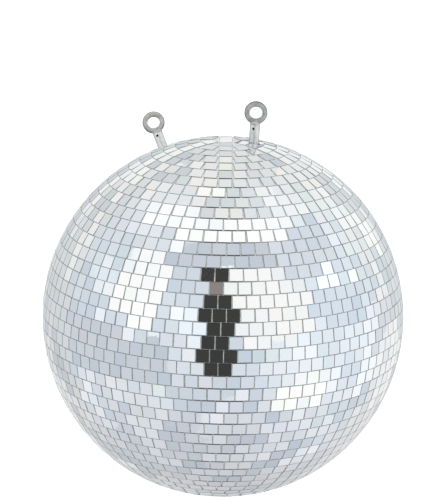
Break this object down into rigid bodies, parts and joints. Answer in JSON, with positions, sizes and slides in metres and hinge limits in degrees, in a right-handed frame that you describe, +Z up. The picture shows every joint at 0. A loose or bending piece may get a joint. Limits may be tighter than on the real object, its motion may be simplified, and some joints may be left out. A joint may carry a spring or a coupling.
{
  "type": "mirror ball",
  "caption": "Mirror ball: a hollow round core covered in level rows of small square mirrored glass facets, hung by swivel eyes that stand in its upper half.",
  "frame": {"origin": "centre of the ball", "axes": "+Z up along the axis that the facet rows go round, -Y towards the front"},
  "size_m": [0.3002, 0.3002, 0.3327],
  "materials": {
    "mirror_facets": "back-silvered flat glass",
    "core_plastic": "light grey moulded plastic",
    "eye_metal": "cast and turned, dull nickel plate",
    "zinc_steel": "zinc plate",
    "black_steel": "black oxide"
  },
  "bodies": {
    "ball": {"core_lower_half": "core_plastic", "core_upper_half": "core_plastic", "main_eye_load_plate": "zinc_steel", "main_eye_nut": "zinc_steel", "main_eye_retaining_screw": "black_steel", "main_eye_sleeve": "eye_metal", "main_eye_spring_washer": "zinc_steel", "safety_eye_load_plate": "zinc_steel", "safety_eye_nut": "zinc_steel", "safety_eye_retaining_screw": "black_steel", "safety_eye_sleeve": "eye_metal", "safety_eye_spring_washer": "zinc_steel", "tile_row_01": "mirror_facets", "tile_row_02": "mirror_facets", "tile_row_03": "mirror_facets", "tile_row_04": "mirror_facets", "tile_row_05": "mirror_facets", "tile_row_06": "mirror_facets", "tile_row_07": "mirror_facets", "tile_row_08": "mirror_facets", "tile_row_09": "mirror_facets", "tile_row_10": "mirror_facets", "tile_row_11": "mirror_facets", "tile_row_12": "mirror_facets", "tile_row_13": "mirror_facets", "tile_row_14": "mirror_facets", "tile_row_15": "mirror_facets", "tile_row_16": "mirror_facets", "tile_row_17": "mirror_facets", "tile_row_18": "mirror_facets", "tile_row_19": "mirror_facets", "tile_row_20": "mirror_facets", "tile_row_21": "mirror_facets", "tile_row_22": "mirror_facets", "tile_row_23": "mirror_facets", "tile_row_24": "mirror_facets", "tile_row_25": "mirror_facets", "tile_row_26": "mirror_facets", "tile_row_27": "mirror_facets", "tile_row_28": "mirror_facets", "tile_row_29": "mirror_facets", "tile_row_30": "mirror_facets", "tile_row_31": "mirror_facets", "tile_row_32": "mirror_facets", "tile_row_33": "mirror_facets", "tile_row_34": "mirror_facets", "tile_row_35": "mirror_facets", "tile_row_36": "mirror_facets", "tile_row_37": "mirror_facets", "tile_row_38": "mirror_facets", "tile_row_39": "mirror_facets", "tile_row_40": "mirror_facets", "tile_row_41": "mirror_facets", "tile_row_42": "mirror_facets", "tile_row_43": "mirror_facets", "tile_row_44": "mirror_facets", "tile_row_45": "mirror_facets"},
    "main_eye": {"main_eye_ring": "eye_metal"},
    "safety_eye": {"safety_eye_ring": "eye_metal"}
  },
  "joints": [
    {"name": "main_eye_swivel", "type": "hinge", "parent": "ball", "child": "main_eye", "pos_m": [0.02267, -0.00355, 0.14823], "axis": [0.048, -0.021, 0.9986], "continuous": true},
    {"name": "safety_eye_swivel", "type": "hinge", "parent": "ball", "child": "safety_eye", "pos_m": [-0.05231, 0.05531, 0.12924], "axis": [-0.372, 0.3669, 0.8526], "continuous": true}
  ]
}
